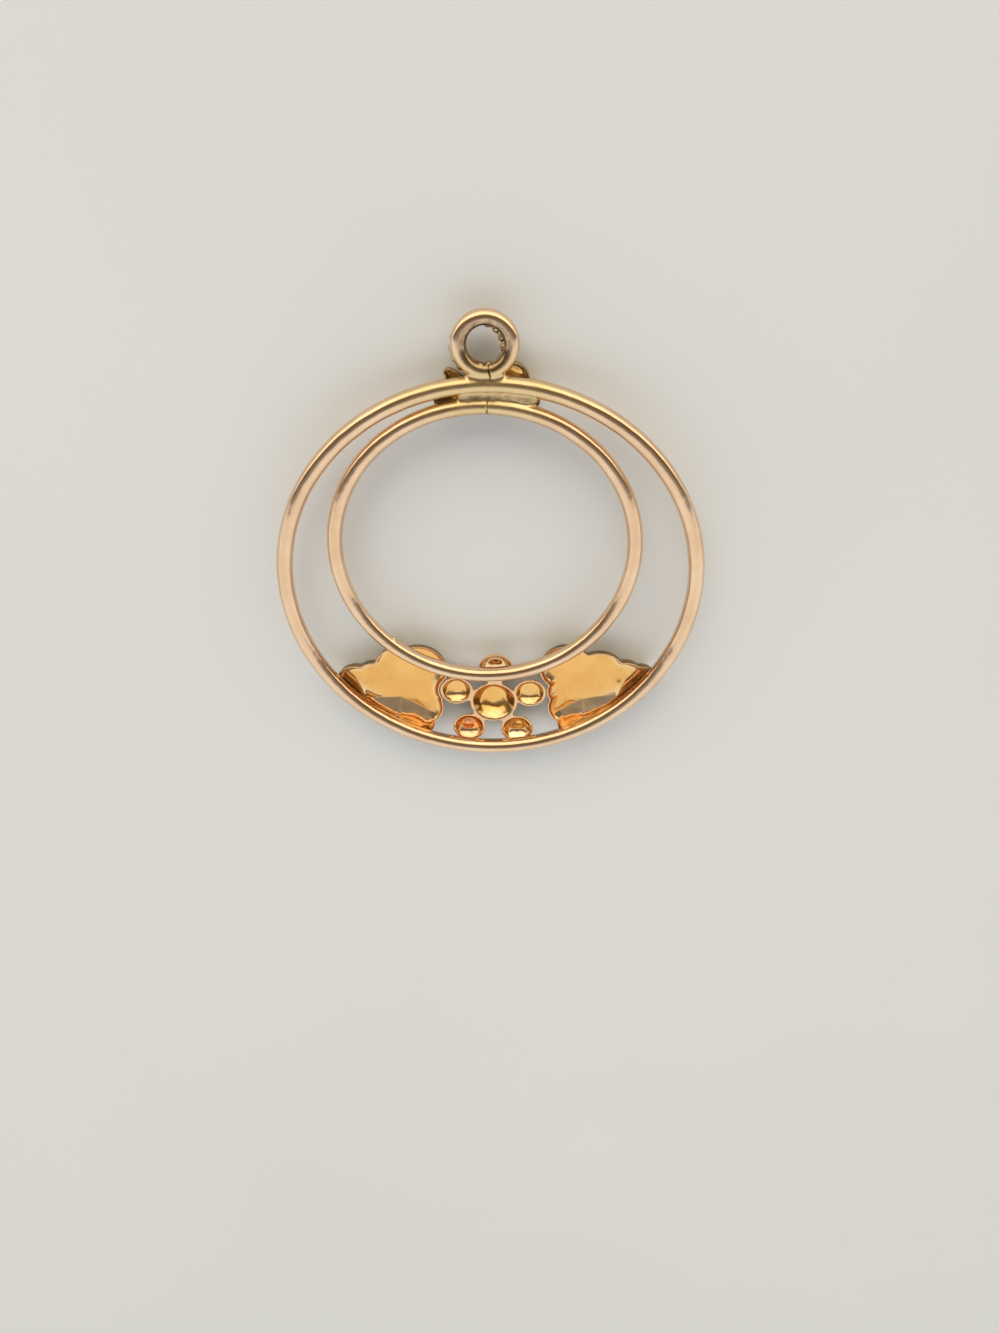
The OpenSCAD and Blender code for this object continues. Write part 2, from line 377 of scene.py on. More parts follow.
def flower_hollow(x, y, z):
    """The hollows of the boss and of the petals, a little uneven as struck."""
    hollow = boss_cup(x, y, z, 0, HOLLOW_FLOOR_R, HOLLOW_FLOOR_UP, BOSS_HOLLOW_CORNER)
    for petal in PETALS:
        hollow = np.minimum(hollow, petal_hollow(x, y, z, petal))
    for wavelength, depth, seed in FLOWER_WAVES:
        hollow = hollow + depth * waves(x, y, z, wavelength, seed)
    return hollow


def flower_field(x, y, z):
    solid = boss_cup(x, y, z, FLOWER_SHEET, FLOOR_R, 0, BOSS_CORNER)
    for petal in PETALS:
        cup = petal_cup(x, y, z, petal, FLOWER_SHEET, PETAL_DEPTH, PETAL_CORNER)
        solid = join(solid, cup, PETAL_FILLET)
        turn = math.radians(petal[0])
        along = (x - FLOWER[0]) * math.cos(turn) + (y - FLOWER[1]) * math.sin(turn)
        aside = (y - FLOWER[1]) * math.cos(turn) - (x - FLOWER[0]) * math.sin(turn)
        ends = np.maximum(BOSS_R - along, along - petal[1] + PETAL_R)
        neck = common(np.abs(aside) - NECK_W / 2, ends, NECK_END_CORNER)
        neck = common(neck, FLOWER[2] - FLOWER_SHEET - z, NECK_FRONT_CORNER)
        solid = join(solid, neck, NECK_FILLET)
    solid = common(solid, z - FLOWER[2], RIM_ROUND)
    return cut(solid, flower_hollow(x, y, z), RIM_ROUND)


def ray_through(heart, ways, disc):
    """Whether rays from the heart cross a disc, and where they enter and leave it."""
    to = np.array(disc[:2]) - heart
    along = ways @ to
    chord = along ** 2 - to @ to + disc[2] ** 2
    half = np.sqrt(np.maximum(chord, 0))
    return chord > 0, along - half, along + half


def trace_rim(heart, lobes, keep_out, keep_in, count=720):
    """How far a stamping reaches from its heart in each direction, and its rim's points."""
    turn = 2 * math.pi * np.arange(count) / count
    ways = np.stack([np.cos(turn), np.sin(turn)], 1)
    reach = np.zeros(count)
    for lobe in lobes:
        crossed, _, leave = ray_through(heart, ways, lobe)
        reach = np.maximum(reach, np.where(crossed, leave, 0))
    for disc in keep_out:
        crossed, enter, _ = ray_through(heart, ways, disc)
        reach = np.minimum(reach, np.where(crossed & (enter > 0), enter, np.inf))
    for disc in keep_in:
        reach = np.minimum(reach, ray_through(heart, ways, disc)[2])
    return turn, reach, heart + ways * reach[:, None]


def distance_to_line(points, line, chunk=2000):
    """Distance from points to a closed line through other points."""
    along = np.roll(line, -1, 0) - line
    squared = np.maximum((along ** 2).sum(1), 1e-12)
    nearest = []
    for first in range(0, len(points), chunk):
        to = points[first:first + chunk, None] - line
        share = np.clip((to * along).sum(2) / squared, 0, 1)
        gap = to - share[..., None] * along
        nearest.append(np.sqrt((gap ** 2).sum(2).min(1)))
    return np.concatenate(nearest)


def soften(grid, rounds):
    """Blurs a grid, which rounds the corners of what it describes."""
    for _ in range(rounds):
        for axis in (0, 1):
            wide = np.pad(grid, [(1, 1) if k == axis else (0, 0) for k in (0, 1)], "edge")
            before, after = np.delete(wide, (-1, -2), axis), np.delete(wide, (0, 1), axis)
            grid = (before + 2 * grid + after) / 4
    return grid


def rim_plan(heart, lobes, keep_out, keep_in):
    """Grid of distances from a stamping's rim, below zero inside it."""
    heart = np.array(heart)
    turn, reach, rim = trace_rim(heart, lobes, keep_out, keep_in)
    low = rim.min(0) - PLAN_ROOM
    count = np.ceil((rim.max(0) + PLAN_ROOM - low) / PLAN_STEP).astype(int) + 1
    axes = [low[k] + PLAN_STEP * np.arange(count[k]) for k in (0, 1)]
    points = np.stack(np.meshgrid(*axes, indexing="ij"), -1).reshape(-1, 2)
    off = points - heart
    where = np.arctan2(off[:, 1], off[:, 0]) % (2 * math.pi)
    limit = np.interp(where, turn, reach, period=2 * math.pi)
    sign = np.where(np.hypot(off[:, 0], off[:, 1]) < limit, -1, 1)
    grid = (sign * distance_to_line(points, rim)).reshape(count)
    return low, soften(grid, PLAN_BLURS)


def spline(t):
    """Weights of four neighbours for a smooth curve near them."""
    return ((1 - t) ** 3 / 6, (3 * t ** 3 - 6 * t ** 2 + 4) / 6,
            (3 * (t + t ** 2 - t ** 3) + 1) / 6, t ** 3 / 6)


def look_up(plan, u, v):
    """Smooth value of a plan at any points."""
    low, grid = plan
    a, b = (u - low[0]) / PLAN_STEP, (v - low[1]) / PLAN_STEP
    i = np.clip(np.floor(a).astype(int), 1, grid.shape[0] - 3)
    j = np.clip(np.floor(b).astype(int), 1, grid.shape[1] - 3)
    across, along = spline(np.clip(a - i, 0, 1)), spline(np.clip(b - j, 0, 1))
    total = 0.0
    for p in range(4):
        for q in range(4):
            total = total + across[p] * along[q] * grid[i + p - 1, j + q - 1]
    return total


def from_crease(x, y, die):
    """Distance from the crease, and the same but 0 on its upper side."""
    px, py = x - die["heart"][0], y - die["heart"][1]
    nearest = None
    for degrees in die["crease"]:
        ux, uy = math.cos(math.radians(degrees)), math.sin(math.radians(degrees))
        along = px * ux + py * uy
        off = np.where(along > 0, np.abs(py * ux - px * uy), np.hypot(px, py))
        nearest = off if nearest is None else np.minimum(nearest, off)
    turn = np.degrees(np.arctan2(py, px))
    upper = (turn - die["crease"][1] + 360) % 360 < die["crease"][0] - die["crease"][1]
    return nearest, np.where(upper, 0, nearest)


def floor_depths(x, y, die):
    """Depths below the rim of a stamping's front and of its hollow, away from the wall."""
    off, below = from_crease(x, y, die)
    soft = die["crease_soft"]
    bent = np.sqrt(off ** 2 + soft ** 2) - soft
    lift = relief(x, y, below, die)
    front = sloped(CREASE_DEPTH, die["rise"], bent, below)
    front = at_least(at_least(front, WALL_DEPTH) - lift, LEAST_DEPTH) + SHEET
    hollow = sloped(die["hollow"], die["hollow_rise"], bent, below)
    hollow = hollow - die["hollow_run"] * np.maximum(die["heart"][0] - x, 0)
    hollow = hollow - die["base_lift"] * past_heart(x, die, BASE_RUN)
    hollow = join(at_least(hollow - lift, LEAST_DEPTH), front - LEAST_SHEET, EDGE_ROUND)
    return front, hollow


def sloped(depth, rises, bent, below):
    """A depth that lessens away from the crease, at one rate above it and another below it."""
    return depth - np.where(below > 0, rises[1], rises[0]) * bent


def at_least(depth, least):
    """A depth that a least one takes over from, smoothly."""
    return -join(-depth, -least + 0 * depth, EDGE_ROUND)


def past_heart(x, die, run):
    """0 before the run and 1 past it, measured from the heart towards the flower."""
    return ramp(x, die["heart"][0] + run[0], die["heart"][0] + run[1])


def relief(x, y, below, die):
    """How far a floor stands above its plain slopes."""
    lift = tip_relief(x, y, die["tip"]) if die["tip"] else 0 * x
    share = UPPER_SHARE + (1 - UPPER_SHARE) * np.clip(below / FULL_BELOW, 0, 1)
    lift = lift + die["uneven"] * share * (1 + waves(x, y, 0, LONG_WAVE, die["seed"]))
    short = 1 + waves(x, y, 0, SHORT_WAVE, die["seed"] + 1)
    return lift + SHORT_SHARE * die["uneven"] * short


def tip_relief(x, y, tip):
    """The small lobe at a leaf's tip: a ridge, a floor that rises past it, and bumps."""
    (from_x, from_y), (to_x, to_y) = tip["line"]
    length = math.hypot(to_x - from_x, to_y - from_y)
    way_x, way_y = (to_x - from_x) / length, (to_y - from_y) / length
    past = (x - from_x) * way_y - (y - from_y) * way_x
    step = 1 / (1 + np.exp(-past / TIP_STEP_HALF))
    lift = step * (tip["step"] + tip["slope"] * np.maximum(past, 0))
    lift = lift + tip["ridge"] * np.exp(-(past / TIP_RIDGE_HALF) ** 2)
    for at_x, at_y, radius, height in tip["bumps"]:
        lift = lift + height * np.exp(-((x - at_x) ** 2 + (y - at_y) ** 2) / radius ** 2)
    return lift


def ramp(value, start, end):
    """0 before the start, 1 past the end, smooth between."""
    share = np.clip((value - start) / (end - start), 0, 1)
    return share * share * (3 - 2 * share)


def in_plane(x, y, place, mirrored):
    """A point in the directions of a die that stands at a place."""
    flip = -1 if mirrored else 1
    return flip * (x - place[0]), y - place[1]


def stamping_surfaces(x, y, z, die):
    """Outer and inner surface of a hollow sheet-metal stamping with an open back."""
    u, v = in_plane(x, y, die["place"], die["mirrored"])
    w = np.minimum(z - die["place"][2], 0)
    edge = look_up(die["plan"], u, v)
    front, hollow = floor_depths(u, v, die)
    out = np.clip(1 + edge / die["wall"], 0, None)
    outside = (np.hypot(out, w / front) - 1) * front
    wall = die["hollow_wall"] + die["base_wall"] * past_heart(u, die, BASE_WALL_RUN)
    out = np.clip(1 + (edge + LAND) / wall, 0, None)
    inside = (np.hypot(out, w / hollow) - 1) * hollow
    return outside, inside


def stamping_field(die):
    """The sheet between the two surfaces, with a rounded rim."""

    def field(x, y, z):
        outside, inside = stamping_surfaces(x, y, z, die)
        return cut(common(outside, z - die["place"][2], EDGE_ROUND), inside, EDGE_ROUND)

    return field


# Meshes from the fields, by surface nets

def slope(field, points, step=0.001):
    parts = []
    for axis in range(3):
        ahead, back = points.copy(), points.copy()
        ahead[:, axis] += step
        back[:, axis] -= step
        parts.append((field(*ahead.T) - field(*back.T)) / (2 * step))
    return np.stack(parts, 1)


def edge_ends(value, axis):
    """The grid's values at the two ends of every edge along an axis."""
    first = [slice(None)] * 3
    last = [slice(None)] * 3
    first[axis] = slice(None, -1)
    last[axis] = slice(1, None)
    return value[tuple(first)], value[tuple(last)]


def crossings(value, axis):
    """Grid edges along an axis that cross the zero level: the other two axes, the edges' first
    corners, the crossings and whether the metal is at the first corner."""
    a, b = edge_ends(value, axis)
    at = np.argwhere((a < 0) != (b < 0))
    va, vb = a[tuple(at.T)], b[tuple(at.T)]
    place = at.astype(float)
    place[:, axis] += va / (va - vb)
    others = [(axis + 1) % 3, (axis + 2) % 3]
    kept = np.all([(at[:, o] > 0) & (at[:, o] < value.shape[o] - 1) for o in others], axis=0)
    return others, at[kept], place[kept], va[kept] < 0


def cells_beside(at, others, back):
    """Places in a grid of cells, some steps back from each edge along the other two axes."""
    touched = at.copy()
    touched[:, others] -= back
    return tuple(touched.T)


def quads_around(index, others, at, outward):
    """A quad through the four cells round each edge, facing out of the metal."""
    corners = [index[cells_beside(at, others, back)] for back in ((1, 1), (0, 1), (0, 0), (1, 0))]
    quad = np.stack(corners, 1)
    quad[~outward] = quad[~outward][:, ::-1]
    return quad


def surface(field, low, high, cell):
    """Closed mesh of a field's zero level in a box, as points and quads."""
    count = [int(math.ceil((high[i] - low[i]) / cell)) + 1 for i in range(3)]
    lines = [low[i] + cell * np.arange(count[i]) for i in range(3)]
    x, y, z = np.meshgrid(*lines, indexing="ij", sparse=True)
    value = np.broadcast_to(field(x, y, z), count).astype(float)
    found = [crossings(value, axis) for axis in range(3)]
    cells = [n - 1 for n in count]
    total = np.zeros(cells + [3])
    number = np.zeros(cells)
    for others, at, place, _ in found:
        for back in ((0, 0), (0, 1), (1, 0), (1, 1)):
            touched = cells_beside(at, others, back)
            np.add.at(total, touched, place)
            np.add.at(number, touched, 1)
    active = number > 0
    index = np.full(cells, -1)
    index[active] = np.arange(active.sum())
    points = np.array(low) + cell * total[active] / number[active][:, None]
    quads = [quads_around(index, others, at, outward) for others, at, _, outward in found]
    return settle(field, points, cell), np.concatenate(quads)


def settle(field, points, cell, rounds=4, least_steep=0.05, farthest=0.4):
    """Moves points on to the zero level exactly, so that reflections run clean."""
    for _ in range(rounds):
        way = slope(field, points)
        steep = np.maximum((way ** 2).sum(1), least_steep)
        move = -way * (field(*points.T) / steep)[:, None]
        far = np.linalg.norm(move, axis=1)
        limit = farthest * cell
        move *= np.where(far > limit, limit / np.maximum(far, 1e-9), 1)[:, None]
        points = points + move
    return points


def piece(name, node, field, cell, material, marks):
    """A mesh of the field that stands for the node of the same place."""
    low, high = box_mm(node)
    room = CELLS_ROUND * cell
    points, quads = surface(field, low - room, high + room, cell)
    normals = slope(field, points)
    normals /= np.maximum(np.linalg.norm(normals, axis=1), 1e-9)[:, None]
    mesh = bpy.data.meshes.new(name)
    mesh.from_pydata((points * MM).tolist(), [], quads.tolist())
    mesh.shade_smooth()
    mesh.normals_split_custom_set_from_vertices(normals.tolist())
    for mark, weigh in marks.items():
        layer = mesh.attributes.new(mark, "FLOAT", "POINT")
        layer.data.foreach_set("value", weigh(*points.T).astype(np.float32))
    mesh.materials.append(material)
    made = bpy.data.objects.new(name, mesh)
    bpy.context.scene.collection.objects.link(made)
    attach(made, "root")
    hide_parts(node)
    return made


# The stampings, each described by its die

def stamping_die(place, mirrored, heart, crease, lobes, keep_out, keep_in, form, **more):
    die = {"place": place, "mirrored": mirrored, "heart": heart, "crease": crease}
    die["plan"] = rim_plan(heart, lobes, keep_out, keep_in)
    die.update(form)
    die.update(more)
    return die


def leaf_die(place, mirrored, heart, crease, lobes, petal, **more):
    clear_r = PETAL_R + FLOWER_SHEET + CLEARANCE
    clear = (*in_plane(*petal_middle(petal)[:2], place, mirrored), clear_r)
    ring = (*in_plane(*OUTER[:2], place, mirrored), OUTER_R + PAST_RING)
    return stamping_die(place, mirrored, heart, crease, lobes, [clear], [ring], LEAF_FORM, **more)


# Room between a stamping and the petal or the beads beside it, and how far a leaf may reach past
# the middle line of the outer ring
CLEARANCE = 0.06
PAST_RING = 0.25

# Forms of the leaves and of the spray. crease_soft rounds the crease. rise and hollow_rise say how
# fast the front and the hollow get shallower away from the crease, above it and below it. hollow is
# the hollow's depth at the crease, and hollow_run how fast it gets shallower towards the tip. wall
# and hollow_wall are the runs of the outer and inner wall, which base_wall widens towards the
# flower, where base_lift makes the hollow shallower. uneven is the height of the unevenness.
# The last two are the shares of painted light in the hollow and of a painted dark reflection on the
# outer wall.
LEAF_FORM = {
    "crease_soft": 0.05,
    "rise": (0.14, 0.24),
    "hollow": 0.74,
    "hollow_rise": (-0.06, 0.29),
    "hollow_run": 0.21,
    "wall": 0.34,
    "hollow_wall": 0.26,
    "base_wall": 0.33,
    "base_lift": 0.38,
    "uneven": 0.010,
    "painted_light_share": 0.0,
    "skirt_shade": 0.9,
}
SPRAY_FORM = {
    "crease_soft": 0.06,
    "rise": (0.3, 0.5),
    "hollow": 0.30,
    "hollow_rise": (0.0, 0.1),
    "hollow_run": 0.0,
    "wall": 0.22,
    "hollow_wall": 0.22,
    "base_wall": 0.0,
    "base_lift": 0.0,
    "uneven": 0.030,
    "painted_light_share": 0.9,
    "skirt_shade": 0.2,
}


# Relief of each leaf's tip, in the leaf's own directions from the flower's middle: the line where
# the floor steps up, the step, the slope past it, the ridge along it, and bumps as x, y, radius and
# height
LEFT_TIP = {
    "line": ((-8.72, 2.60), (-8.67, 0.70)),
    "step": 0.05,
    "slope": 0.12,
    "ridge": 0.015,
    "bumps": ((-9.41, 2.25, 0.24, 0.05), (-8.86, 0.50, 0.22, 0.04)),
}
RIGHT_TIP = {
    "line": ((-8.22, 2.75), (-7.92, 0.65)),
    "step": 0.05,
    "slope": 0.12,
    "ridge": 0.025,
    "bumps": (
        (-9.20, 2.37, 0.24, 0.09),
        (-8.56, 2.18, 0.26, -0.08),
        (-7.90, 1.65, 0.16, -0.04),
        (-8.10, 0.58, 0.22, 0.08),
    ),
}

# Painted highlights and brown stains on the leaves' floors, in the leaf's own directions from the
# flower's middle: x, y, half length, half width, strength
LEFT_HIGHLIGHTS = ((-6.78, -0.56, 0.62, 0.26, 0.5), (-8.60, 0.42, 0.22, 0.14, 0.7))
LEFT_STAINS = (
    (-9.00, 1.45, 0.80, 0.75, 0.12),
    (-4.75, -0.60, 0.60, 0.45, 0.25),
    (-6.20, 3.90, 0.80, 0.30, 0.20),
)
RIGHT_HIGHLIGHTS = ((-8.25, 0.55, 0.22, 0.16, 0.7), (-9.35, 1.85, 0.20, 0.16, 0.7))
RIGHT_STAINS = (
    (-8.75, 1.75, 0.45, 0.40, 0.40),
    (-7.90, 1.60, 0.30, 0.30, 0.35),
    (-6.20, 3.60, 0.90, 0.30, 0.20),
)

# The heart is where a crease's two arms meet, and the crease their directions in degrees
LEFT_LEAF = leaf_die(
    FLOWER, False, (-6.23, 0.05), (172.5, -26.25), LEFT_LOBES, PETALS[1],
    tip=LEFT_TIP, patches=LEFT_HIGHLIGHTS, stains=LEFT_STAINS, seed=71)
RIGHT_PLACE = FLOWER + np.array([0.4, -0.1, 0.0])
RIGHT_LEAF = leaf_die(
    RIGHT_PLACE, True, (-5.53, -0.15), (161.25, -26.25), RIGHT_LOBES, PETALS[4],
    tip=RIGHT_TIP, patches=RIGHT_HIGHLIGHTS, stains=RIGHT_STAINS, seed=81)
SPRAY_PLACE = np.array([0.0, OUTER[1] + OUTER_R, RIM_Z])
SPRAY_CLEAR = (*in_plane(*BEADS[:2], SPRAY_PLACE, False), BEADS_R + BEAD_R + CLEARANCE)
SPRAY = stamping_die(
    SPRAY_PLACE, False, (0.0, -0.95), (180, 0), SPRAY_LOBES, [SPRAY_CLEAR], [], SPRAY_FORM,
    tip=None, patches=(), stains=(), seed=91)


# Materials

# The metals' own tones, each with a deeper one that it varies to
WIRE_TONES = (0.86, 0.62, 0.41), (0.79, 0.54, 0.34)
GRAIN_TONES = (0.78, 0.62, 0.42), (0.68, 0.50, 0.30)
SHEET_TONES = (0.87, 0.50, 0.16), (0.82, 0.44, 0.13)
# Solder on the wires, and their dirt with painted shade
SOLDER_TONE = (0.74, 0.56, 0.27)
WIRE_DIRT_AND_SHADE = (0.16, 0.10, 0.05)
# Clouds and pits on the sheet; on its marked places painted reddish reflection, painted light, painted
# dark reflection outside, worn rims, and dirt with painted shade
CLOUD_TONE = (0.90, 0.60, 0.26)
PIT_TONE = (0.46, 0.25, 0.09)
RED_REFLECTION_TONE = (0.80, 0.40, 0.24)
PAINTED_LIGHT_TONE = (0.90, 0.74, 0.48)
OUTSIDE_DARK_REFLECTION_TONE = (0.52, 0.36, 0.15)
RIM_TONE = (0.82, 0.53, 0.30)
SHEET_DIRT_AND_SHADE = (0.16, 0.115, 0.06)
TABLE_TONES = (0.79, 0.81, 0.83), (0.82, 0.84, 0.86)


class Shader:
    """A material whose nodes are added one by one."""

    def __init__(self, name):
        self.material = bpy.data.materials.new(name)
        self.material.use_nodes = True
        tree = self.material.node_tree
        self.nodes, self.links = tree.nodes, tree.links
        self.surface = self.nodes["Principled BSDF"]
        self.where = self.add("ShaderNodeTexCoord").outputs["Object"]

    def add(self, kind, **settings):
        node = self.nodes.new(kind)
        for name, value in settings.items():
            setattr(node, name, value)
        return node

    def link(self, source, target):
        self.links.new(source, target)

    def noise(self, scale, detail=2.0, stretch=(1, 1, 1), turn=0.0):
        """Noise whose scale counts features in a metre."""
        place = self.add("ShaderNodeMapping")
        place.inputs["Scale"].default_value = stretch
        place.inputs["Rotation"].default_value = (0, 0, math.radians(turn))
        self.link(self.where, place.inputs["Vector"])
        node = self.add("ShaderNodeTexNoise")
        node.inputs["Scale"].default_value = scale
        node.inputs["Detail"].default_value = detail
        self.link(place.outputs["Vector"], node.inputs["Vector"])
        return node.outputs["Fac"]

    def spread(self, value, low, high, to_low=0.0, to_high=1.0):
        """Stretches a value's range to another range, and clamps it."""
        node = self.add("ShaderNodeMapRange")
        range_ends = {"From Min": low, "From Max": high, "To Min": to_low, "To Max": to_high}
        for name, number in range_ends.items():
            node.inputs[name].default_value = number
        self.link(value, node.inputs["Value"])
        return node.outputs["Result"]

    def reckon(self, operation, a, b):
        node = self.add("ShaderNodeMath", operation=operation)
        for socket, value in zip(node.inputs, (a, b)):
            if isinstance(value, (int, float)):
                socket.default_value = value
            else:
                self.link(value, socket)
        return node.outputs["Value"]

    def times(self, a, b):
        return self.reckon("MULTIPLY", a, b)

    def mix(self, share, a, b):
        """Colour a where share is 0 and b where it is 1."""
        node = self.add("ShaderNodeMix", data_type="RGBA")
        sockets = [s for s in node.inputs if s.type == "RGBA"]
        self.link(share, node.inputs["Factor"])
        for socket, value in zip(sockets, (a, b)):
            if isinstance(value, tuple):
                socket.default_value = (*value, 1)
            else:
                self.link(value, socket)
        return next(s for s in node.outputs if s.type == "RGBA")

    def mark(self, name):
        """A weight that the mesh carries at each of its points."""
        return self.add("ShaderNodeAttribute", attribute_name=name).outputs["Fac"]

    def broken_mark(self, name, noise, low, high, least):
        """A mark broken up by noise, which leaves at least this share of it."""
        return self.times(self.mark(name), self.spread(noise, low, high, least, 1.0))

    def bump(self, height, distance, strength, below=None):
        node = self.add("ShaderNodeBump")
        node.inputs["Distance"].default_value = distance
        node.inputs["Strength"].default_value = strength
        self.link(height, node.inputs["Height"])
        if below is not None:
            self.link(below, node.inputs["Normal"])
        return node.outputs["Normal"]


def worn_metal(shader, colour, smooth, rough, grain, dull=None):
    """Roughness that varies, fine scratches and a soft grain, for a metal of this colour."""
    shader.surface.inputs["Metallic"].default_value = 1.0
    shader.link(colour, shader.surface.inputs["Base Color"])
    patches = shader.spread(shader.noise(900, 4), 0.35, 0.68, smooth, rough)
    if dull is not None:
        patches = shader.reckon("ADD", patches, dull)
    shader.link(patches, shader.surface.inputs["Roughness"])
    scratch = shader.spread(shader.noise(5200, 3, (1, 0.06, 1), 35), 0.60, 0.74)
    cross = shader.spread(shader.noise(4600, 3, (0.07, 1, 1), -20), 0.62, 0.76)
    normal = shader.bump(shader.noise(2600, 3), 0.00002, grain)
    normal = shader.bump(scratch, 0.000006, 0.20, normal)
    normal = shader.bump(cross, 0.000006, 0.15, normal)
    shader.link(normal, shader.surface.inputs["Normal"])
    return shader.material


def rose_gold(name, tones):
    """Polished wire: pale rose gold, olive and duller where solder lies, dark where dirt lies and where
    shade is painted inside the bail.
    """
    shader = Shader(name)
    colour = shader.mix(shader.spread(shader.noise(420, 3), 0.35, 0.65), *tones)
    solder = shader.broken_mark("solder", shader.noise(1500, 3), 0.25, 0.6, 0.55)
    colour = shader.mix(solder, colour, SOLDER_TONE)
    # Dirt, and painted shade inside the bail
    dirt_and_shade = shader.broken_mark("dirt_and_shade", shader.noise(2400, 4), 0.3, 0.6, 0.4)
    colour = shader.mix(dirt_and_shade, colour, WIRE_DIRT_AND_SHADE)
    return worn_metal(shader, colour, 0.08, 0.16, 0.06, shader.times(solder, 0.20))


def yellow_gold(name, tones):
    """Stamped sheet: yellow with pale clouds and dark pits, painted light, shade and reddish
    reflection, worn peach rims, and a painted dark reflection outside.
    """
    shader = Shader(name)
    colour = shader.mix(shader.spread(shader.noise(520, 3), 0.35, 0.65), *tones)
    cloud = shader.spread(shader.noise(330, 5, (1, 0.45, 1), 30), 0.48, 0.66, 0.0, 0.45)
    colour = shader.mix(cloud, colour, CLOUD_TONE)
    pit = shader.spread(shader.noise(2900, 2), 0.66, 0.76, 0.0, 0.35)
    colour = shader.mix(pit, colour, PIT_TONE)
    # Painted reddish reflection in one petal, from the mesh's mark
    red_reflection = shader.broken_mark("red_reflection", shader.noise(1300, 3), 0.25, 0.6, 0.5)
    colour = shader.mix(red_reflection, colour, RED_REFLECTION_TONE)
    # The pale mark is painted light
    colour = shader.mix(shader.mark("pale"), colour, PAINTED_LIGHT_TONE)
    # Painted dark reflection on the outside
    colour = shader.mix(shader.mark("outside"), colour, OUTSIDE_DARK_REFLECTION_TONE)
    rim = shader.broken_mark("rim", shader.noise(1700, 3), 0.3, 0.6, 0.6)
    colour = shader.mix(rim, colour, RIM_TONE)
    # Dirt in stains, and painted shade and dark reflection on the walls
    dirt_and_shade = shader.broken_mark("dirt_and_shade", shader.noise(2200, 4), 0.3, 0.62, 0.3)
    colour = shader.mix(dirt_and_shade, colour, SHEET_DIRT_AND_SHADE)
    return worn_metal(shader, colour, 0.10, 0.19, 0.07)


# Marks: weights from 0 to 1 at the points of a mesh, by place in millimetres

# The pair of a fade says where it starts and how long it is, the pair of a ramp where it starts and
# where it is full, and a share how strong a mark is at most

# Solder on the wires: by the bar, the foot and the lumps, and in an oval film round the top joint
BAR_SOLDER = (0.02, 0.16)
FOOT_SOLDER = (0.02, 0.20)
LUMP_SOLDER = (0.02, 0.08)
LUMP_SHARE = 0.7
FILM_Y = 10.4
FILM_STRETCH = 2.5
FILM_SOLDER = (1.0, 1.6)
FILM_SHARE = 0.8

# Dirt in a seam: how deep in the groove it is full, the length of its fade, and how far it spills
# from the wire's surface
INNER_SEAM_DIRT = (0.02, 0.03, 0.2)
BAIL_SEAM_DIRT = (0.03, 0.04, 0.3)
# Painted shade inside the bail, measured inwards from the wire's middle line
BAIL_SHADE = (-0.10, 0.15)
BAIL_SHADE_SHARE = 0.75
# Dirt on the solder between the rings, and how it keeps from the rings themselves
BAR_DIRT = (0.04, 0.06)
BAR_CLEAR = (0.01, 0.08)
BAR_DIRT_SHARE = 0.62
# Dirt on the beads
BEAD_DIRT = 0.25

# What lies near a hollow's surface counts as its inside, on every stamping
INSIDE = (0.03, 0.05)
# An oval spot, by shares of its half lengths
SPOT_FADE = (0.5, 0.5)

# Leaves and spray, by depth below the rim: the worn rim, and the start and end of the painted dark
# reflection on the outer wall
WORN_RIM = (0.03, 0.06)
SKIRT_START = (0.02, 0.08)
SKIRT_END = (0.35, 0.40)
# Painted shade under the outer ring: from its inner side on, and by depth below the rim
RING_SHADE_START = (-0.06, 0.04)
RING_SHADE_END = (0.08, 0.10)
RING_SHADE_SHARE = 0.75
# Painted light below the crease, by the rim and near the outer ring
LOW_PAINTED_LIGHT = (0.0, 0.12)
LOW_LIGHT_SHARE = 0.45
WALL_PAINTED_LIGHT = (-0.60, -0.30)
WALL_LIGHT_SHARE = 0.40
RING_PAINTED_LIGHT = (OUTER_R - 1.1, OUTER_R - 0.4)
RING_LIGHT_SHARE = 0.75

# The flower's worn rims, by depth below their plane, and its outside, by height over it
FLOWER_RIM = (0.05, 0.08)
BELOW_RIM = (-0.12, 0.06)
# What lies in a petal or in the boss, by distance from its middle
IN_PETAL = (0.7, 0.3)
IN_BOSS = (1.4, 0.1)
# Painted dark reflection on the boss's wall, but not on its lower side
BOSS_WALL_R = 1.2
BOSS_SHADE = (0.10, 0.15)
BOSS_SHADE_START = (-0.9, -0.5)
BOSS_SHADE_SHARE = 0.5
# Painted light on the lower side of the boss and of each petal
BOSS_PAINTED_LIGHT = (0.80, 1.05)
BOSS_LIGHT_SHARE = 0.35
PETAL_LOW_PAINTED_LIGHT = (0.30, 0.55)
PETAL_LOW_LIGHT_SHARE = 0.4
# Share of painted light in each whole petal, and which petal has a painted reddish reflection
PETAL_PAINTED_LIGHT_SHARES = (0.6, 0.0, 0.25, 0.9, 0.0)
RED_PETAL = PETALS[2]


def fade(distance, start, reach):
    """1 up to the start, falling to 0 over the reach."""
    return np.clip(1 - np.maximum(distance - start, 0) / reach, 0, 1)


def nowhere(x, y, z):
    return 0 * x


def bead_grime(x, y, z):
    return BEAD_DIRT + 0 * x


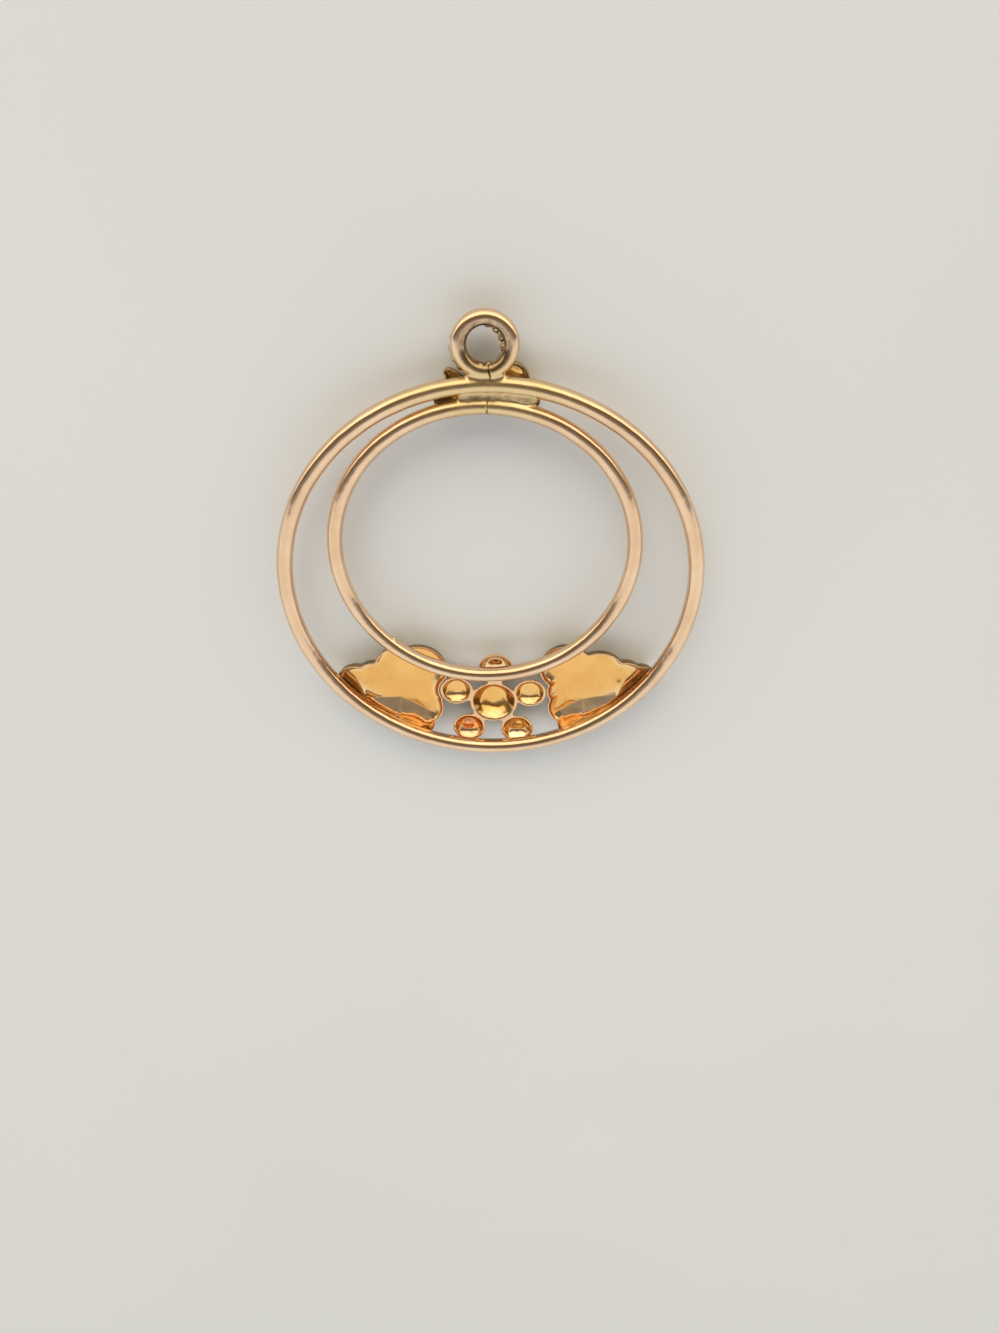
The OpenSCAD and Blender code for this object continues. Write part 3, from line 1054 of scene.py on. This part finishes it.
def wire_solder(x, y, z):
    """Solder on its bars and lumps, and thinly on the wires round the top joint."""
    on_bar = fade(solder_bar(x, y, z), *BAR_SOLDER)
    weight = np.maximum(on_bar, fade(solder_foot(x, y, z), *FOOT_SOLDER))
    for lump in LUMPS:
        on_lump = fade(ball(x, y, z, lump[:3], lump[3]), *LUMP_SOLDER)
        weight = np.maximum(weight, LUMP_SHARE * on_lump)
    film = fade(np.hypot(x / FILM_STRETCH, y - FILM_Y), *FILM_SOLDER)
    return np.maximum(weight, FILM_SHARE * film)


def seam_grime(x, y, z, middle, radius, wire, seam, dirt):
    """Dirt in a seam's groove."""
    depth, reach, spill = dirt
    skin = true_ring(x, y, z, middle, radius, wire)
    groove = seam_groove(x, y, middle, radius, skin, seam)
    return fade(groove, -depth, reach) * fade(np.abs(skin), 0, spill)


def wire_dirt_and_shade(x, y, z):
    """Dirt in the seams and on the solder between the rings, and painted shade round the inside of the
    bail.
    """
    in_seam = seam_grime(x, y, z, INNER, INNER_R, INNER_WIRE, INNER_SEAM, INNER_SEAM_DIRT)
    in_bail_seam = seam_grime(x, y, z, BAIL, BAIL_R, BAIL_WIRE, BAIL_SEAM, BAIL_SEAM_DIRT)
    # Painted shade round the inside of the bail
    in_bail = ramp(BAIL_R - np.hypot(x - BAIL[0], y - BAIL[1]), *BAIL_SHADE)
    weight = np.maximum(np.maximum(in_seam, in_bail_seam), BAIL_SHADE_SHARE * in_bail)
    outer = true_ring(x, y, z, OUTER, OUTER_R, OUTER_WIRE)
    inner = true_ring(x, y, z, INNER, INNER_R, INNER_WIRE)
    on_bar = fade(solder_bar(x, y, z), *BAR_DIRT) * ramp(np.minimum(outer, inner), *BAR_CLEAR)
    return np.maximum(weight, BAR_DIRT_SHARE * on_bar)


def spots(u, v, places):
    """Weight of oval spots with soft edges."""
    weight = 0 * u
    for at_u, at_v, long_r, short_r, share in places:
        far = np.hypot((u - at_u) / long_r, (v - at_v) / short_r)
        weight = np.maximum(weight, share * fade(far, *SPOT_FADE))
    return weight


def stamping_marks(die):
    """Marks of a leaf or the spray: its outside, its worn rim, a painted dark reflection on its outer
    wall, painted shade under the outer ring, stains, and painted light low in the hollow, by its wall,
    near the outer ring and in painted highlights."""
    rim_z = die["place"][2]

    def outside(x, y, z):
        return 1 - fade(np.abs(stamping_surfaces(x, y, z, die)[1]), *INSIDE)

    def rim(x, y, z):
        return fade(rim_z - z, *WORN_RIM)

    def dirt_and_shade(x, y, z):
        u, v = in_plane(x, y, die["place"], die["mirrored"])
        front, depth = outside(x, y, z), rim_z - z
        # Painted dark reflection on the outer wall
        skirt_shade = die["skirt_shade"] * front * fade(depth, *SKIRT_END) * ramp(depth, *SKIRT_START)
        # Painted shade where the rim runs under the outer ring
        past_ring = np.hypot(x - OUTER[0], y - OUTER[1]) - OUTER_R + OUTER_WIRE / 2
        joint = RING_SHADE_SHARE * ramp(past_ring, *RING_SHADE_START) * fade(depth, *RING_SHADE_END)
        stain = spots(u, v, die["stains"]) * (1 - front)
        return np.maximum(np.maximum(skirt_shade, joint), stain)

    # Painted light low in the hollow, by its wall and near the outer ring, and painted highlights in
    # spots
    def pale(x, y, z):
        u, v = in_plane(x, y, die["place"], die["mirrored"])
        low = ramp(from_crease(u, v, die)[1], *LOW_PAINTED_LIGHT)
        wall = ramp(look_up(die["plan"], u, v), *WALL_PAINTED_LIGHT)
        by_ring = ramp(np.hypot(x - OUTER[0], y - OUTER[1]), *RING_PAINTED_LIGHT)
        weight = np.maximum(die["painted_light_share"], LOW_LIGHT_SHARE * low + WALL_LIGHT_SHARE * wall)
        weight = np.maximum(weight, RING_LIGHT_SHARE * by_ring)
        return np.maximum(weight, spots(u, v, die["patches"])) * (1 - outside(x, y, z))

    return {"outside": outside, "rim": rim, "dirt_and_shade": dirt_and_shade, "red_reflection": nowhere, "pale": pale}


def flower_marks():
    """Marks of the flower: its outside, its worn rims, a painted dark reflection on the boss's wall, a
    painted reddish reflection in one petal, and painted light in some petals and low in the hollows."""

    def in_petal(x, y, petal):
        middle = petal_middle(petal)
        return fade(np.hypot(x - middle[0], y - middle[1]), *IN_PETAL)

    def outside(x, y, z):
        inside = fade(np.abs(flower_hollow(x, y, z)), *INSIDE)
        return (1 - inside) * fade(z - FLOWER[2], *BELOW_RIM)

    def rim(x, y, z):
        return fade(FLOWER[2] - z, *FLOWER_RIM)

    # Painted reddish reflection in one petal
    def red_reflection(x, y, z):
        return in_petal(x, y, RED_PETAL) * (1 - rim(x, y, z))

    # Painted dark reflection on the boss's wall
    def dirt_and_shade(x, y, z):
        out = np.hypot(x - FLOWER[0], y - FLOWER[1])
        wall = fade(np.abs(out - BOSS_WALL_R), *BOSS_SHADE) * (1 - rim(x, y, z))
        return BOSS_SHADE_SHARE * wall * ramp(y - FLOWER[1], *BOSS_SHADE_START)

    # Painted light on the lower sides of the boss and petals, and over some whole petals
    def pale(x, y, z):
        out = np.hypot(x - FLOWER[0], y - FLOWER[1])
        weight = BOSS_LIGHT_SHARE * ramp(FLOWER[1] - y, *BOSS_PAINTED_LIGHT) * fade(out, *IN_BOSS)
        for petal, painted_light_share in zip(PETALS, PETAL_PAINTED_LIGHT_SHARES):
            share = painted_light_share + PETAL_LOW_LIGHT_SHARE * ramp(petal_middle(petal)[1] - y, *PETAL_LOW_PAINTED_LIGHT)
            weight = np.maximum(weight, share * in_petal(x, y, petal))
        return weight

    return {"outside": outside, "rim": rim, "dirt_and_shade": dirt_and_shade, "red_reflection": red_reflection, "pale": pale}


# The stage: floor, light and camera, in metres

FLOOR_HALF = 1.5


def floor():
    shader = Shader("pale_table")
    cloud = shader.spread(shader.noise(14, 3), 0.35, 0.65)
    shader.link(shader.mix(cloud, *TABLE_TONES), shader.surface.inputs["Base Color"])
    shader.link(shader.bump(shader.noise(1800, 2), 0.00003, 0.15), shader.surface.inputs["Normal"])
    shader.surface.inputs["Roughness"].default_value = 0.5
    mesh = bpy.data.meshes.new("floor")
    corners = [(sx * FLOOR_HALF, sy * FLOOR_HALF, 0) for sx, sy in ((-1, -1), (1, -1), (1, 1), (-1, 1))]
    mesh.from_pydata(corners, [], [(0, 1, 2, 3)])
    mesh.materials.append(shader.material)
    made = bpy.data.objects.new("floor", mesh)
    bpy.context.scene.collection.objects.link(made)


# Light of the studio by the angle from overhead towards the bail's side, in degrees, and the
# strength that makes its brightest light a colour of at most 1
STUDIO = (
    (-92, (0.72, 0.77, 0.80)),
    (-66, (0.88, 0.93, 0.96)),
    (-46, (1.02, 1.02, 0.98)),
    (-20, (0.92, 0.91, 0.90)),
    (-13, (0.42, 0.41, 0.41)),
    (-5, (0.28, 0.27, 0.29)),
    (10, (0.19, 0.16, 0.12)),
    (34, (0.19, 0.15, 0.08)),
    (44, (1.30, 1.18, 0.92)),
    (60, (2.00, 1.78, 1.40)),
    (82, (1.50, 1.40, 1.10)),
    (92, (0.95, 0.93, 0.87)),
)
STUDIO_PEAK = 2.0


def studio_light():
    """Two soft walls of light, before and behind, with a darker ceiling between them."""
    world = bpy.data.worlds.new("studio")
    bpy.context.scene.world = world
    world.use_nodes = True
    nodes, links = world.node_tree.nodes, world.node_tree.links
    background = nodes["Background"]
    way = nodes.new("ShaderNodeTexCoord").outputs["Generated"]
    apart = nodes.new("ShaderNodeSeparateXYZ")
    links.new(way, apart.inputs["Vector"])
    turn = nodes.new("ShaderNodeMath")
    turn.operation = "ARCTAN2"
    links.new(apart.outputs["Y"], turn.inputs[0])
    links.new(apart.outputs["Z"], turn.inputs[1])
    share = nodes.new("ShaderNodeMapRange")
    share.inputs["From Min"].default_value = -math.pi
    share.inputs["From Max"].default_value = math.pi
    links.new(turn.outputs["Value"], share.inputs["Value"])
    lights = nodes.new("ShaderNodeValToRGB")
    set_stops(lights.color_ramp)
    links.new(share.outputs["Result"], lights.inputs["Fac"])
    links.new(lights.outputs["Color"], background.inputs["Color"])
    background.inputs["Strength"].default_value = STUDIO_PEAK


def set_stops(gradient):
    gradient.interpolation = "EASE"
    stops = gradient.elements
    while len(stops) < len(STUDIO):
        stops.new(1.0)
    for stop, (angle, light) in zip(stops, STUDIO):
        stop.position = (angle + 180) / 360
        stop.color = (*(part / STUDIO_PEAK for part in light), 1)


# The key light: place, size, watts and colour
KEY_PLACE = (-0.08, 0.34, 0.20)
KEY_SIZE = 0.25
KEY_WATTS = 0.45
KEY_COLOUR = (1.0, 0.98, 0.95)


def key_light():
    """A square area light that faces the middle of the pendant, and isn't mirrored in it."""
    data = bpy.data.lights.new("key", "AREA")
    data.size = KEY_SIZE
    data.energy = KEY_WATTS
    data.color = KEY_COLOUR
    made = bpy.data.objects.new("key", data)
    made.location = KEY_PLACE
    made.rotation_euler = (-Vector(KEY_PLACE)).to_track_quat("-Z", "Y").to_euler()
    made.visible_glossy = False
    bpy.context.scene.collection.objects.link(made)


# The photo's view of the pendant: place in millimetres, and the picture's own directions
CAMERA_PLACE = (1.417, 28.620, 54.974)
PICTURE_RIGHT = (0.99986036, -0.01476086, -0.00783484)
PICTURE_UP = (0.00776446, 0.82549502, -0.56435599)
FOCAL_PIXELS = 1000
PICTURE_HEIGHT = 1333
SENSOR = 36


def camera():
    data = bpy.data.cameras.new("camera")
    data.sensor_fit = "VERTICAL"
    data.sensor_height = SENSOR
    data.sensor_width = SENSOR
    data.lens = FOCAL_PIXELS / PICTURE_HEIGHT * SENSOR
    data.clip_start = 0.001
    data.clip_end = 10
    made = bpy.data.objects.new("camera", data)
    right, up = Vector(PICTURE_RIGHT), Vector(PICTURE_UP)
    turn = Matrix((right, up, right.cross(up))).transposed().to_4x4()
    made.matrix_world = Matrix.Translation(Vector(CAMERA_PLACE) * MM) @ turn
    bpy.context.scene.collection.objects.link(made)
    bpy.context.scene.camera = made


def build():
    wire = rose_gold("rose_gold_wire", WIRE_TONES)
    grains = rose_gold("rose_gold_grains", GRAIN_TONES)
    sheet = yellow_gold("yellow_gold_sheet", SHEET_TONES)
    wire_marks = {"solder": wire_solder, "dirt_and_shade": wire_dirt_and_shade}
    grain_marks = {"solder": nowhere, "dirt_and_shade": bead_grime}
    piece("ring_wires", "wire_frame", wire_frame_field, WIRE_CELL, wire, wire_marks)
    piece("bead_ring", "beaded_ring", beaded_ring_field, BEAD_CELL, grains, grain_marks)
    piece("flower_stamping", "flower", flower_field, FLOWER_CELL, sheet, flower_marks())
    for name, node, die in (
        ("left_leaf", "leaf_left", LEFT_LEAF),
        ("right_leaf", "leaf_right", RIGHT_LEAF),
        ("spray_leaf", "top_spray", SPRAY),
    ):
        piece(name, node, stamping_field(die), STAMPING_CELL, sheet, stamping_marks(die))


camera()
floor()
studio_light()
key_light()
bpy.context.scene.view_settings.view_transform = "Standard"
build()
